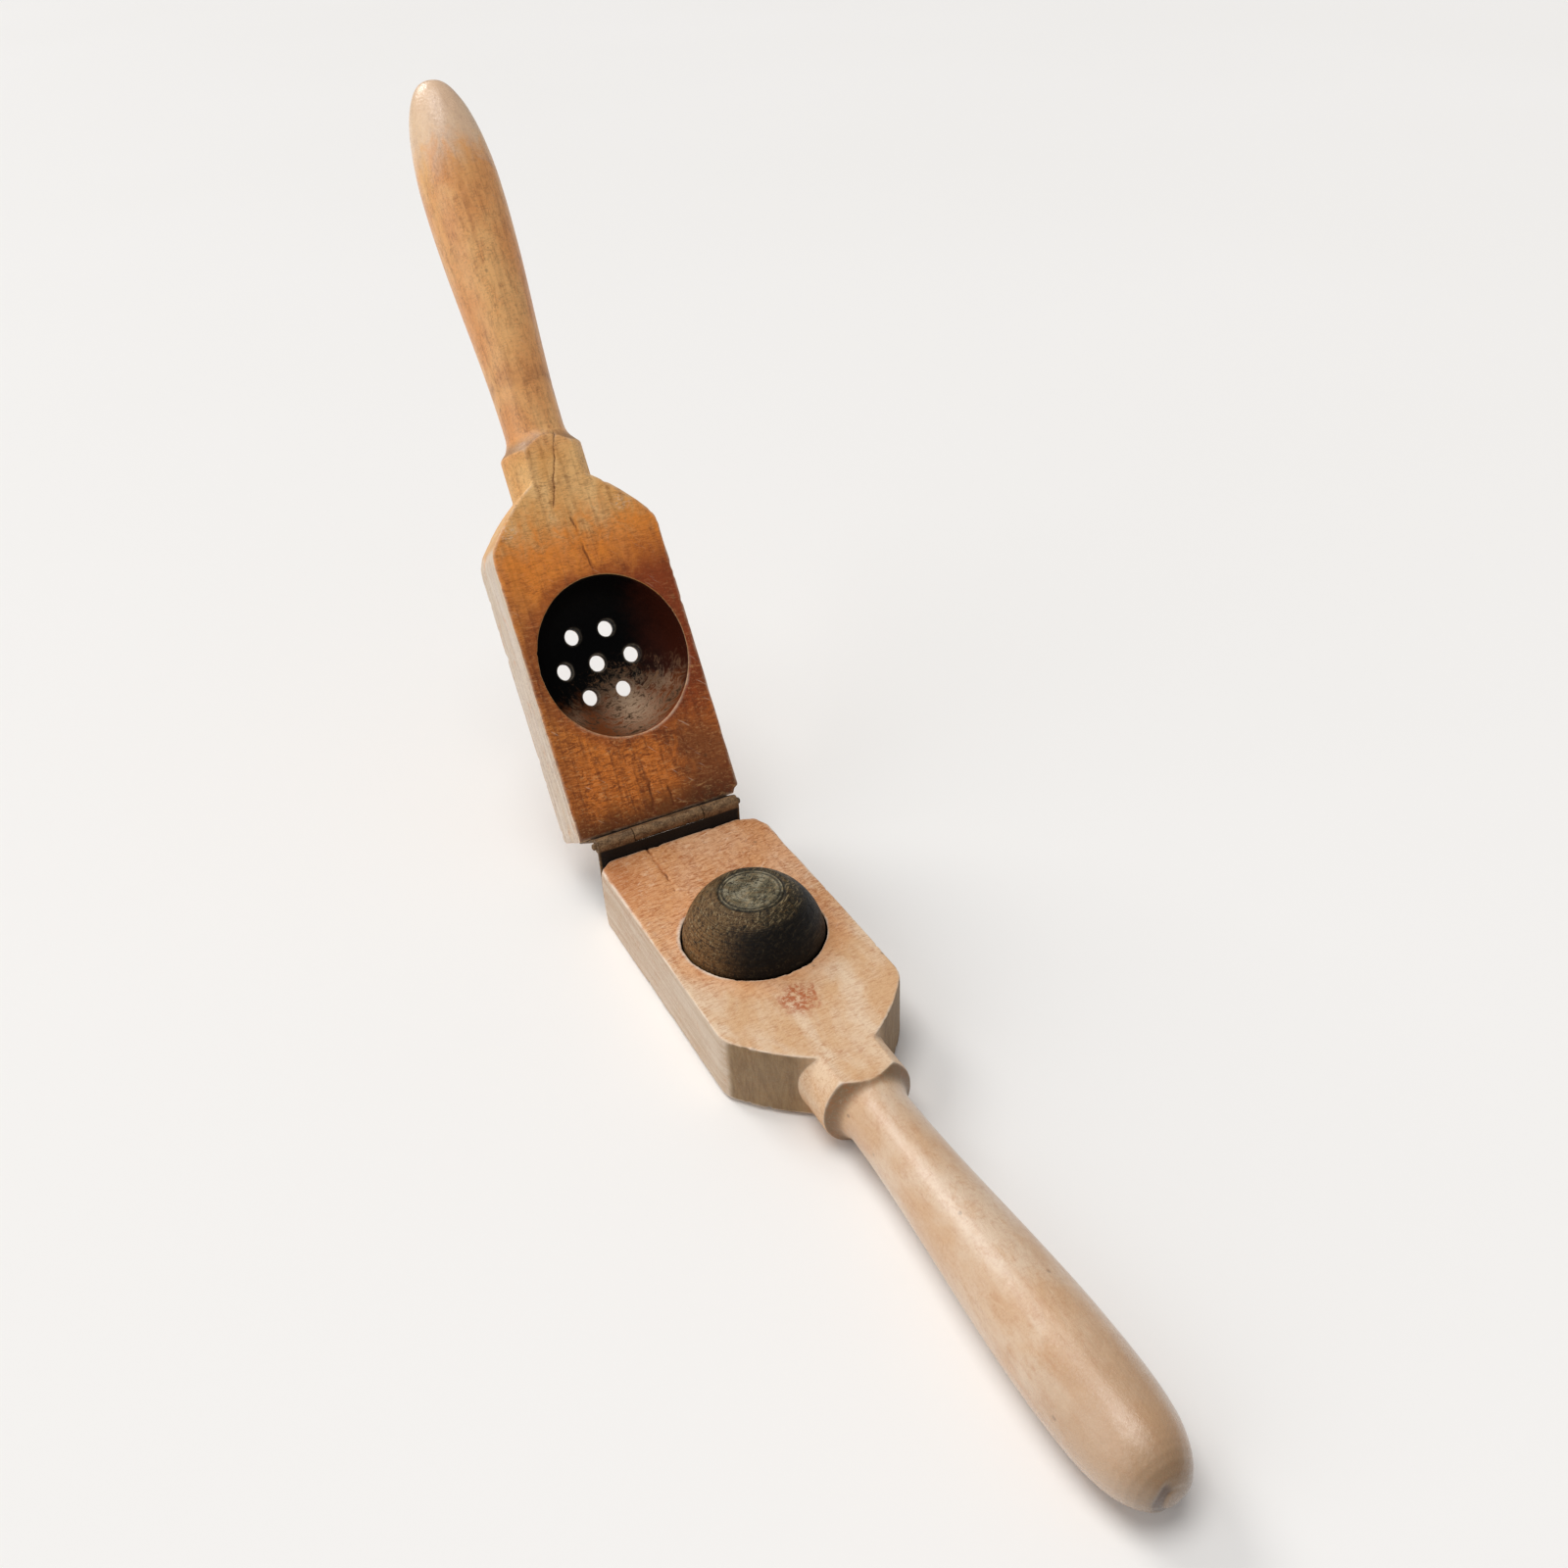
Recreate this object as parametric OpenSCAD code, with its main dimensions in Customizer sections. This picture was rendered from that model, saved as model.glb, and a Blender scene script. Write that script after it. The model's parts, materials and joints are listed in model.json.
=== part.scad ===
// Hinged wooden citrus press, open and standing as it rests on a table.
// Each half is first drawn lying flat: hinge end at v = 0, handle towards -Y, back face on z = 0.
// The upper half is the same blank turned over above the hinge pin, then swung open about it.

/* [Heads] */
// Width of each head
head_w = 72; // [66:1:80]
// Thickness of each head
head_t = 27.5; // [26:0.5:30]
// Hinge end to the neck on the lower half
lower_neck = 140.5; // [136:0.5:146]
// Hinge end to the neck on the upper half
upper_neck = 145; // [136:0.5:148]
// Width of the flat face at the neck
neck_w = 19.5; // [17:0.5:22]
// Length of each sloping shoulder along the head
shoulder_run = 22; // [18:0.5:26]
// How far each sloping shoulder bulges out from a straight cut
shoulder_bulge = 1.5; // [0:0.1:2.5]
// Inset of the rounded shoulder corner from the side
corner_inset = 2.2; // [1:0.1:4]
// Radius of the lower head's eased back edge at the hinge end
edge_r = 5; // [1:0.5:8]
// Radius of the upper head's eased back edge at the hinge end
upper_edge_r = 2.5; // [1:0.5:8]

/* [Collars] */
// Radius of the turned collars
collar_r = 17.1; // [16:0.1:18.5]
// Length of the collars beyond the neck
collar_len = 13; // [9:0.5:16]
// Length of the hollow sweep from the collar down to the wrist
sweep_len = 8.5; // [6:0.5:12]

/* [Lower handle] */
// Hinge end to handle tip
lower_len = 315; // [290:1:330]
// Smallest radius, just past the collar
lower_wrist_r = 11.8; // [10.5:0.1:13]
// Largest radius
lower_grip_r = 16.4; // [14.5:0.1:17]
// Distance of the largest radius from the tip
lower_grip_from_tip = 42; // [34:1:56]
// Bluntness of the end: 2 is an ellipse, more is blunter
lower_tip_power = 3.2; // [2:0.1:4]
// Sideways lean of the turned axis, in degrees
lower_lean = -0.4; // [-0.6:0.1:0.6]

/* [Upper handle] */
// Hinge end to handle tip
upper_len = 313.5; // [290:0.5:330]
// Smallest radius, just past the collar
upper_wrist_r = 12.5; // [10.5:0.1:13]
// Largest radius
upper_grip_r = 16.6; // [14.5:0.1:17]
// Distance of the largest radius from the tip
upper_grip_from_tip = 50; // [34:1:56]
// Bluntness of the end: 2 is an ellipse, more is blunter
upper_tip_power = 2.4; // [2:0.1:4]
// Sideways lean of the turned axis, in degrees
upper_lean = 0.2; // [-0.6:0.1:0.6]
// Radius of the small sawn flat at the end of both handles
tip_r = 5; // [2:0.1:6]

/* [Bowl] */
// Hinge end to the centre of the bowl and of the dome
press_v = 68.8; // [64:0.1:74]
// Radius of the bowl's rim along the grain
bowl_r = 33.4; // [30:0.1:35]
// Radius across the grain as a share of that: the wood has shrunk
bowl_shrink = 0.94; // [0.9:0.01:1]
// Sideways shift of the bowl from the middle of the upper head
bowl_shift = 0.8; // [-2:0.1:2]
// Depth of the bowl
bowl_depth = 24; // [20:0.1:24.5]
// Roundness of the bowl: 2 is an ellipsoid, more is flatter in the floor
bowl_power = 2.6; // [2:0.1:4]
// Diameter of each drain hole
drain_d = 6.8; // [5:0.1:8]
// Radius of the ring of drain holes
drain_ring_r = 15.3; // [12:0.1:18]
// Number of drain holes in the ring
drain_count = 6; // [4:1:8]

/* [Dome] */
// Radius of the dome where it leaves the face
dome_r = 27; // [25:0.1:28]
// Height of the dome above the face
dome_h = 19.5; // [16:0.1:22]
// Radius of the dome's flat top
dome_top_r = 13.7; // [11:0.1:16]
// Radius of the groove cut in the flat top
groove_ring_r = 12.2; // [9:0.1:12.6]
// Width of the groove
groove_w = 1; // [0.6:0.1:1.4]
// Depth of the recess that holds the dome
recess_depth = 8; // [5:0.5:10]
// Gap round the dome in its recess
recess_gap = 0.5; // [0.2:0.1:1]

/* [Hinge] */
// Angle of the upper half from closed, as it stands
open_angle = 123.5; // [100:0.5:150]
// Height of the hinge pin above each closed face
pin_h = 6.4; // [5:0.1:9]
// Length of the hinge
hinge_len = 62.5; // [56:0.5:66]
// Shift of the hinge from the middle of the lower head
hinge_shift = -3.2; // [-4:0.1:4]
// Sideways shift of the upper head against the lower head
upper_shift = -2.5; // [-3:0.1:3]
// Radius of the hinge barrel
barrel_r = 2.9; // [2.7:0.1:3.2]
// Radius of the hinge pin
pin_r = 1.45; // [1.3:0.05:1.6]
// How far the pin stands out at each end
pin_end = 1.6; // [0.5:0.1:2.5]
// Thickness of the leaves
leaf_t = 1.4; // [1.2:0.1:1.8]
// Length of each leaf down the end grain from the face
leaf_drop = 18.5; // [16:0.5:21]
// Share of the barrel taken by the middle knuckle
middle_share = 0.49; // [0.4:0.01:0.6]

/* [Screws] */
// Head diameter of the leaf screws
leaf_screw_head_d = 6.6; // [6:0.1:7]
// Shank diameter of the leaf screws
leaf_screw_d = 3.3; // [3:0.1:3.6]
// Length of the leaf screws
leaf_screw_len = 18; // [14:0.5:22]
// Head diameter of the dome screw
dome_screw_head_d = 8.2; // [7.5:0.1:9]
// Shank diameter of the dome screw
dome_screw_d = 4.2; // [3.8:0.1:4.6]
// Length of the dome screw
dome_screw_len = 31; // [29:0.5:33]

/* [Hidden] */
$fn = 96;

eps = 0.01;
axis_z = head_t / 2;
pin_y = barrel_r;
pin_z = head_t + pin_h;
// The handle is thicker than the head, so the half rests on its grip and on the hinge end's back edge.
rest_tilt = asin((lower_grip_r - axis_z) / (lower_len - lower_grip_from_tip - edge_r));
// What differs between the halves: [neck, edge, length, wrist, grip, grip from tip, bluntness, lean]
LOWER = [lower_neck, edge_r, lower_len, lower_wrist_r, lower_grip_r, lower_grip_from_tip, lower_tip_power,
         lower_lean];
UPPER = [upper_neck, upper_edge_r, upper_len, upper_wrist_r, upper_grip_r, upper_grip_from_tip,
         upper_tip_power, upper_lean];
function neck_v(half) = half[0];
function back_edge_r(half) = half[1];
function tip_v(half) = half[2];
function wrist_r(half) = half[3];
function grip_r(half) = half[4];
function grip_from_tip(half) = half[5];
function tip_power(half) = half[6];
function lean(half) = half[7];
function planed_to(half) = neck_v(half) + collar_len + sweep_len;
knuckle_gap = 0.2;
middle_len = hinge_len * middle_share;
outer_len = (hinge_len - middle_len) / 2;
pin_clearance = 0.05;
pin_grip = 0.02;
pilot_clearance = 0.05;
// The top edge of a leaf's plate, below the pin, where it is cut to clear the other leaf's knuckle
cope_top = 1.2;
screw_slot_w = 1.1;
screw_slot_depth = 1;
dome_screw_sunk = 1;
// The round steps of curves drawn point by point
curve_steps = 12;
handle_steps = 44;
bowl_steps = 18;
dome_steps = 14;
// Where the side starts to turn, before the shoulder corner, and the curve's pull towards the side
corner_start = 8;
corner_pull = 2.9;
collar_ease = 0.4;
sweep_steps = 8;
sweep_power = 2.2;
collar_bury = 9;
// How much closer together the handle's rings get towards its tip
tip_crowding = 0.35;
sideways = [-1, 0, 1];
SIDE_NAMES = ["left", "middle", "right"];
leaf_screw_share = 0.36;
leaf_screw_pitch = hinge_len * leaf_screw_share;
leaf_screw_high = 6.5;
leaf_screw_low = 12.5;
// A screw's point: its length in shank diameters, and the radius of its end
screw_point_share = 1.3;
screw_tip_r = 0.2;

// One point on a curve from a to b that leaves towards c
function bend(a, c, b, t) = (1 - t) * (1 - t) * a + 2 * t * (1 - t) * c + t * t * b;

// The right-hand outline of a head, from the hinge end round the shoulder to the neck
function head_side(neck) =
    let (side = head_w / 2,
         corner = [side - corner_inset, neck - shoulder_run],
         throat = [neck_w / 2, neck],
         out = [throat[1] - corner[1], corner[0] - throat[0]] / norm(throat - corner))
    concat([[side, 0]],
           [for (i = [0:curve_steps / 2])
               bend([side, corner[1] - corner_start], [side, corner[1] - corner_pull], corner,
                    2 * i / curve_steps)],
           [for (i = [1:curve_steps])
               let (t = i / curve_steps)
               corner + t * (throat - corner) + 4 * shoulder_bulge * t * (1 - t) * out]);

// Radius of a handle at a distance from its tip: a blunt tip, a full grip and a slim wrist
function handle_radius(half, s) =
    let (full = grip_from_tip(half), wrist_s = tip_v(half) - planed_to(half),
         swell = pow(grip_r(half), 2) - pow(tip_r, 2))
    s < full
    ? sqrt(pow(tip_r, 2) + swell * (1 - pow(1 - s / full, tip_power(half))))
    : wrist_r(half) + (grip_r(half) - wrist_r(half)) * (1 + cos(180 * (s - full) / (wrist_s - full))) / 2;

// Outline of everything turned on the lathe: [radius, distance from the hinge end]
function turned_outline(half) =
    let (rim = neck_v(half) + collar_len, buried = neck_v(half) - collar_bury,
         lip_r = collar_r - collar_ease, wrist_s = tip_v(half) - planed_to(half))
    concat([[0, buried], [collar_r, buried], [collar_r, rim]],
           [for (i = [0:sweep_steps - 1])
               let (t = i / sweep_steps)
               [wrist_r(half) + (lip_r - wrist_r(half)) * pow(1 - t, sweep_power),
                rim + collar_ease + t * (sweep_len - collar_ease)]],
           [for (i = [0:handle_steps])
               let (t = i / handle_steps, s = wrist_s * (1 - t) * (1 - t * tip_crowding))
               [handle_radius(half, s), tip_v(half) - s]],
           [[0, tip_v(half)]]);

// Places children that are drawn along +Z so that they run down the handle
module along_handle() {
    translate([0, 0, axis_z]) rotate([90, 0, 0]) children();
}

// The long block that the head, neck and collar are planed from
module planed_block(half) {
    edge = back_edge_r(half);
    end = planed_to(half);
    intersection() {
        translate([0, 0, -eps])
            mirror([0, 1, 0]) linear_extrude(head_t + 2 * eps)
                polygon([[-head_w, -eps], [head_w, -eps], [head_w, end], [-head_w, end]]);
        // The side view: flat faces, with the back edge at the hinge end eased
        translate([-head_w, 0, 0]) rotate([90, 0, 90]) linear_extrude(2 * head_w)
            polygon(concat([[-end, 0], [-end, head_t], [0, head_t]],
                           [for (i = [0:curve_steps])
                               let (a = 90 * i / curve_steps)
                               [-edge + edge * cos(a), edge - edge * sin(a)]]));
    }
}

// One half before its bowl, recess and holes are cut
module half_blank(half) {
    side = head_side(neck_v(half));
    other_side = [for (i = [len(side) - 1:-1:0]) [-side[i][0], side[i][1]]];
    intersection() {
        planed_block(half);
        translate([0, 0, -eps]) mirror([0, 1, 0]) linear_extrude(head_t + 2 * eps)
            polygon(concat(side, other_side));
    }
    difference() {
        translate([0, -neck_v(half), 0]) rotate([0, 0, lean(half)]) translate([0, neck_v(half), 0])
            along_handle() rotate_extrude() polygon(turned_outline(half));
        for (z = [-head_t, head_t])
            translate([-head_w, -planed_to(half), z]) cube([2 * head_w, planed_to(half), head_t]);
    }
}

// Swings a half that is drawn closed, above the lower one, to its open angle
module swung_open() {
    translate([0, pin_y, pin_z]) rotate([-open_angle, 0, 0]) translate([0, -pin_y, -pin_z]) children();
}

// Turns what is drawn for the lower side over, about the plane of the pin
module turned_over() {
    translate([0, 0, 2 * pin_z]) mirror([0, 0, 1]) children();
}

// The whole tool as it rests, with the origin where the lower back face meets its eased edge
module at_rest() {
    rotate([-rest_tilt, 0, 0]) translate([0, edge_r, 0]) children();
}

// A countersunk wood screw: the head's face on z = 0, the point towards -Z
module wood_screw(head_d, shank_d, length, slack = 0) {
    head_h = (head_d - shank_d) / 2;
    point_h = shank_d * screw_point_share;
    translate([0, 0, -head_h]) cylinder(r1 = shank_d / 2 + slack, r2 = head_d / 2 + slack, h = head_h);
    translate([0, 0, -length + point_h])
        cylinder(r = shank_d / 2 + slack, h = length - point_h - head_h + eps);
    translate([0, 0, -length])
        cylinder(r1 = slack + screw_tip_r, r2 = shank_d / 2 + slack, h = point_h + eps);
}

module slotted_screw(head_d, shank_d, length) {
    difference() {
        wood_screw(head_d, shank_d, length);
        translate([-head_d, -screw_slot_w / 2, -screw_slot_depth])
            cube([2 * head_d, screw_slot_w, screw_slot_depth + 1]);
    }
}

// Puts a screw, or its hole, in one of the three places on the lower leaf
module at_leaf_screw(side) {
    drop = side == 0 ? leaf_screw_low : leaf_screw_high;
    translate([hinge_shift + side * leaf_screw_pitch, leaf_t, head_t - drop]) rotate([-90, 0, 0]) children();
}

module leaf_screw_holes() {
    for (side = sideways)
        at_leaf_screw(side) wood_screw(leaf_screw_head_d, leaf_screw_d, leaf_screw_len, pilot_clearance);
}

module leaf_screw(side) {
    color("dimgray") at_leaf_screw(side) slotted_screw(leaf_screw_head_d, leaf_screw_d, leaf_screw_len);
}

module at_press() {
    translate([0, -press_v, 0]) children();
}

// The dome screw runs up through the back of the lower head
module at_dome_screw() {
    at_press() translate([0, 0, dome_screw_sunk]) rotate([180, 0, 0]) children();
}

module dome_screw_hole() {
    at_dome_screw() {
        wood_screw(dome_screw_head_d, dome_screw_d, dome_screw_len, pilot_clearance);
        cylinder(d = dome_screw_head_d + 2 * pilot_clearance, h = dome_screw_sunk + 1);
    }
}

module lower_paddle() {
    color("burlywood") at_rest() difference() {
        half_blank(LOWER);
        at_press() translate([0, 0, head_t - recess_depth])
            cylinder(r = dome_r + recess_gap, h = recess_depth + 1);
        dome_screw_hole();
        leaf_screw_holes();
    }
}

// The bowl is a flattened hemisphere; its outline is [radius, height below the rim]
module bowl_hollow() {
    scale([bowl_shrink, 1, 1]) rotate_extrude() polygon(concat([[0, 1], [bowl_r, 1]],
        [for (i = [0:bowl_steps])
            let (a = 90 * i / bowl_steps)
            [bowl_r * pow(cos(a), 2 / bowl_power), -bowl_depth * pow(sin(a), 2 / bowl_power)]]));
}

module drain_holes() {
    cylinder(d = drain_d, h = 3 * head_t, center = true);
    for (i = [0:drain_count - 1])
        rotate([0, 0, i * 360 / drain_count]) translate([drain_ring_r, 0, 0])
            cylinder(d = drain_d, h = 3 * head_t, center = true);
}

module upper_paddle() {
    color("peru") at_rest() swung_open() turned_over() difference() {
        translate([upper_shift, 0, 0]) difference() {
            half_blank(UPPER);
            at_press() translate([bowl_shift, 0, head_t]) bowl_hollow();
            at_press() drain_holes();
        }
        leaf_screw_holes();
    }
}

// A truncated ball on a plug, with a shallow groove in its flat top
module dome() {
    ball_z = (dome_r * dome_r - dome_top_r * dome_top_r - dome_h * dome_h) / (-2 * dome_h);
    ball_r = norm([dome_r, ball_z]);
    a0 = atan2(-ball_z, dome_r);
    a1 = atan2(dome_h - ball_z, dome_top_r);
    color("darkslategray") at_rest() at_press() translate([0, 0, head_t]) difference() {
        rotate_extrude() polygon(concat([[0, -recess_depth], [dome_r, -recess_depth]],
            [for (i = [0:dome_steps])
                let (a = a0 + (a1 - a0) * i / dome_steps)
                [ball_r * cos(a), ball_z + ball_r * sin(a)]],
            [[groove_ring_r + groove_w / 2, dome_h], [groove_ring_r, dome_h - groove_w / 2],
             [groove_ring_r - groove_w / 2, dome_h], [0, dome_h]]));
        translate([0, 0, dome_screw_sunk - head_t]) rotate([180, 0, 0])
            wood_screw(dome_screw_head_d, dome_screw_d, dome_screw_len, pilot_clearance);
    }
}

module dome_screw() {
    color("dimgray") at_rest() at_dome_screw()
        slotted_screw(dome_screw_head_d, dome_screw_d, dome_screw_len);
}

// A length of the barrel, measured from its left end
module barrel_piece(from, length, radius) {
    translate([hinge_shift - hinge_len / 2 + from, pin_y, pin_z]) rotate([0, 90, 0])
        cylinder(r = radius, h = length);
}

// A strip of leaf between the end grain and the barrel, up to a height
module leaf_strip(from, length, top) {
    translate([hinge_shift - hinge_len / 2 + from, 0, head_t - leaf_drop])
        cube([length, leaf_t, top - head_t + leaf_drop]);
}

// A leaf drawn on the lower half: plate, knuckles at the given places, screw holes and pin bore
module leaf(knuckles, bore_r) {
    difference() {
        union() {
            difference() {
                leaf_strip(0, hinge_len, pin_z - cope_top);
                barrel_piece(-1, hinge_len + 2, barrel_r + knuckle_gap);
            }
            for (k = knuckles) {
                leaf_strip(k[0], k[1], pin_z);
                barrel_piece(k[0], k[1], barrel_r);
            }
        }
        barrel_piece(-1, hinge_len + 2, bore_r);
        leaf_screw_holes();
    }
}

module lower_leaf() {
    knuckle_l = outer_len - knuckle_gap / 2;
    color("saddlebrown") at_rest()
        leaf([[0, knuckle_l], [hinge_len - knuckle_l, knuckle_l]], pin_r - pin_grip);
}

module upper_leaf() {
    color("sienna") at_rest() swung_open() turned_over()
        leaf([[outer_len + knuckle_gap / 2, middle_len - knuckle_gap]], pin_r + pin_clearance);
}

module hinge_pin() {
    color("darkgray") at_rest() barrel_piece(-pin_end, hinge_len + 2 * pin_end, pin_r);
}

module lower_leaf_screw(side) {
    at_rest() leaf_screw(side);
}

module upper_leaf_screw(side) {
    at_rest() swung_open() turned_over() leaf_screw(side);
}

lower_paddle();
upper_paddle();
dome();
dome_screw();
lower_leaf();
upper_leaf();
hinge_pin();
for (i = [0:2]) {
    lower_leaf_screw(sideways[i]);
    upper_leaf_screw(sideways[i]);
}
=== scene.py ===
"""An old hinged wooden citrus press: worn maple paddles, a dark turned dome and a rusty iron hinge.

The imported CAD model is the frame. Each wooden and iron piece is rebuilt here as a dense mesh with worn edges,
nicks and cracks, and its materials are procedural. Lengths are in millimetres until they reach a mesh.
"""
import json
import math

import bmesh
import bpy
import numpy as np
from mathutils import Matrix, Vector, noise


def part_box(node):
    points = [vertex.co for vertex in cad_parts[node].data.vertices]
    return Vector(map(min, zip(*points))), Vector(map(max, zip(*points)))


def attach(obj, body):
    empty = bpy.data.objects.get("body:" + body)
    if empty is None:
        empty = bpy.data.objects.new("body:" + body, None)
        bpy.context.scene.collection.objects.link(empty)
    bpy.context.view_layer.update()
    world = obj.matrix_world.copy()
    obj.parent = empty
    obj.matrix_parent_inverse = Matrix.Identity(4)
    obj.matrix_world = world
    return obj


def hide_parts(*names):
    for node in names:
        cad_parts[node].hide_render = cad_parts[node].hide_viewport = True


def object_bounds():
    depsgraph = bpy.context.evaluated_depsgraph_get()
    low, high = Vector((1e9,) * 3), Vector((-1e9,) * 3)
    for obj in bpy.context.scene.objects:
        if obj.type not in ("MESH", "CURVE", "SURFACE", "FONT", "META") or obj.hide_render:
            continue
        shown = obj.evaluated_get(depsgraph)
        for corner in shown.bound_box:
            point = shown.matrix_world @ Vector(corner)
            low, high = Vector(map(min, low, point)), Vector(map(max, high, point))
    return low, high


MM = 0.001
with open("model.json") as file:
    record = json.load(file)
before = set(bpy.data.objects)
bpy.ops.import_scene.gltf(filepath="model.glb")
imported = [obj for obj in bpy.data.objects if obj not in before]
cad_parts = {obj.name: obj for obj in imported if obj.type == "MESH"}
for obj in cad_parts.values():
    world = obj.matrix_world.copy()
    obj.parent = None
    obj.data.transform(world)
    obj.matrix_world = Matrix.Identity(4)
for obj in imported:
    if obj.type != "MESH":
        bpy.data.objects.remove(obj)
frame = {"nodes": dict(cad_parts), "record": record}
cad_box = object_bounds()

# ---------------------------------------- the design's own sizes, as in the CAD source, mm
HEAD_W = 72.0
HEAD_T = 27.5
EDGE_R = 5.0
LOWER_NECK = 140.5
UPPER_NECK = 145.0
LOWER_LEN = 315.0
UPPER_LEN = 313.5
COLLAR_LEN = 13.0
PRESS_V = 68.8
BOWL_R = 33.4
BOWL_SHIFT = 0.8
BOWL_SHRINK = 0.94
DOME_R = 27.0
DOME_H = 19.5
DOME_TOP_R = 13.7
RECESS = 8.0
BARREL_R = 2.9
PIN_R = 1.45
UPPER_SHIFT = -2.5
OPEN_ANGLE = math.radians(123.5)

# ---------------------------------------- how the pieces are rebuilt, mm
WOOD_VOXEL = 0.55
IRON_VOXEL = 0.22
RECESS_GAP = 0.6
NICKS = 45
COAT_ROUGHNESS = 0.34

# ---------------------------------------- where each half lies, worked out from the frame
_rest = Vector(frame["record"]["mounts"][0]["axis"])
REST_TILT = math.atan2(-_rest.y, -_rest.z)
AT_REST = Matrix.Rotation(-REST_TILT, 4, "X") @ Matrix.Translation((0, EDGE_R * MM, 0))
PIN = AT_REST.inverted() @ Vector(frame["record"]["behaviour"]["joints"][0]["pos_m"])
PIN_Z = PIN.z / MM
LOWER_AT = AT_REST
OPENED = Matrix.Translation(PIN) @ Matrix.Rotation(-OPEN_ANGLE, 4, "X") @ Matrix.Translation(-PIN)
UPPER_AT = AT_REST @ OPENED
HINGE_LOW, HINGE_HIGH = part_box("lower_leaf")
PIN_LOW, PIN_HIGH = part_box("hinge_pin")


def lower_place(co):
    """Closed-pose positions in mm to (across, along the half, above the face)."""
    return np.stack([co[:, 0], -co[:, 1], co[:, 2] - HEAD_T], 1)


def upper_place(co):
    return np.stack([co[:, 0] - UPPER_SHIFT, -co[:, 1], 2 * PIN_Z - HEAD_T - co[:, 2]], 1)


# ---------------------------------------- small maths
def smoothstep(low, high, x):
    t = np.clip((x - low) / (high - low), 0, 1)
    return t * t * (3 - 2 * t)


def field(co, size, seed=0.0):
    """Smooth noise from -1 to 1 at each point, with features about size mm across."""
    shift = Vector((seed * 17.3, seed * 5.1, seed * 9.7))
    return np.array([noise.noise(Vector(p) / size + shift) for p in co])


# ---------------------------------------- dense meshes
def edge_array(mesh):
    out = np.empty(len(mesh.edges) * 2, np.int64)
    mesh.edges.foreach_get("vertices", out)
    return out.reshape(-1, 2)


def get_co(mesh):
    out = np.empty(len(mesh.vertices) * 3)
    mesh.vertices.foreach_get("co", out)
    return out.reshape(-1, 3)


def get_normals(mesh):
    out = np.empty(len(mesh.vertices) * 3, np.float32)
    mesh.vertices.foreach_get("normal", out)
    return out.reshape(-1, 3).astype(float)


def relaxed(co, edges, rounds, factor=0.5):
    """Laplacian smoothing: each point moves part of the way to its neighbours' mean."""
    a, b = edges[:, 0], edges[:, 1]
    n = len(co)
    count = np.bincount(a, minlength=n) + np.bincount(b, minlength=n)
    out = co.copy()
    for _ in range(rounds):
        mean = np.stack([(np.bincount(a, out[b, k], n) + np.bincount(b, out[a, k], n)) / count
                         for k in range(3)], 1)
        out += factor * (mean - out)
    return out


def dense_copy(node, name, at, voxel):
    """A voxel remesh of a CAD node, in its half's own closed pose, in mm."""
    mesh = frame["nodes"][node].data.copy()
    mesh.transform(Matrix.Scale(1 / MM, 4) @ at.inverted())
    bm = bmesh.new()
    bm.from_mesh(mesh)
    bmesh.ops.remove_doubles(bm, verts=bm.verts, dist=0.001)
    bm.to_mesh(mesh)
    bm.free()
    obj = bpy.data.objects.new(name, mesh)
    bpy.context.scene.collection.objects.link(obj)
    remesh = obj.modifiers.new("remesh", "REMESH")
    remesh.mode = "VOXEL"
    remesh.voxel_size = voxel
    done = bpy.data.meshes.new_from_object(obj.evaluated_get(bpy.context.evaluated_depsgraph_get()))
    obj.modifiers.clear()
    obj.data = done
    done.name = name
    bpy.data.meshes.remove(mesh)
    return obj


def set_attribute(mesh, name, values):
    kind = "FLOAT_VECTOR" if values.ndim == 2 else "FLOAT"
    layer = mesh.attributes.new(name, kind, "POINT")
    layer.data.foreach_set("vector" if values.ndim == 2 else "value", values.astype(np.float32).ravel())


def put_back(obj, co, at, body, material, slot, *nodes):
    """Moves a finished piece from its closed pose in mm to its place, attaches it to its body and hides the CAD
    nodes it stands for.
    """
    mesh = obj.data
    mesh.vertices.foreach_set("co", co.astype(np.float32).ravel())
    mesh.transform(at @ Matrix.Scale(MM, 4))
    mesh.polygons.foreach_set("use_smooth", [True] * len(mesh.polygons))
    mesh.update()
    mesh.materials.clear()
    mesh.materials.append(material)
    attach(obj, body)
    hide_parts(*nodes)


def along_path(place, points, width, seed):
    """1 on a wandering line through points (across, along) on the face, falling to 0 at width mm from it."""
    sway = 0.7 * field(place, 5.0, seed + 2) + 0.35 * field(place, 1.6, seed + 4)
    swayed = place[:, :2] + np.outer(sway, (1, 0))
    best = np.full(len(place), 1e9)
    for (x0, y0), (x1, y1) in zip(points, points[1:]):
        d = np.array([x1 - x0, y1 - y0])
        rel = swayed - (x0, y0)
        t = np.clip(rel @ d / (d @ d), 0, 1)
        best = np.minimum(best, np.linalg.norm(rel - t[:, None] * d, axis=1))
    return np.clip(1 - best / width, 0, 1) * (place[:, 2] > -2.5)


# ---------------------------------------- node graphs
def colour(r, g, b):
    """An sRGB colour, 0 to 255, as the linear colour that Blender's nodes use."""
    def linear(x):
        x /= 255
        return x / 12.92 if x <= 0.04045 else ((x + 0.055) / 1.055) ** 2.4
    return (linear(r), linear(g), linear(b), 1.0)


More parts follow.
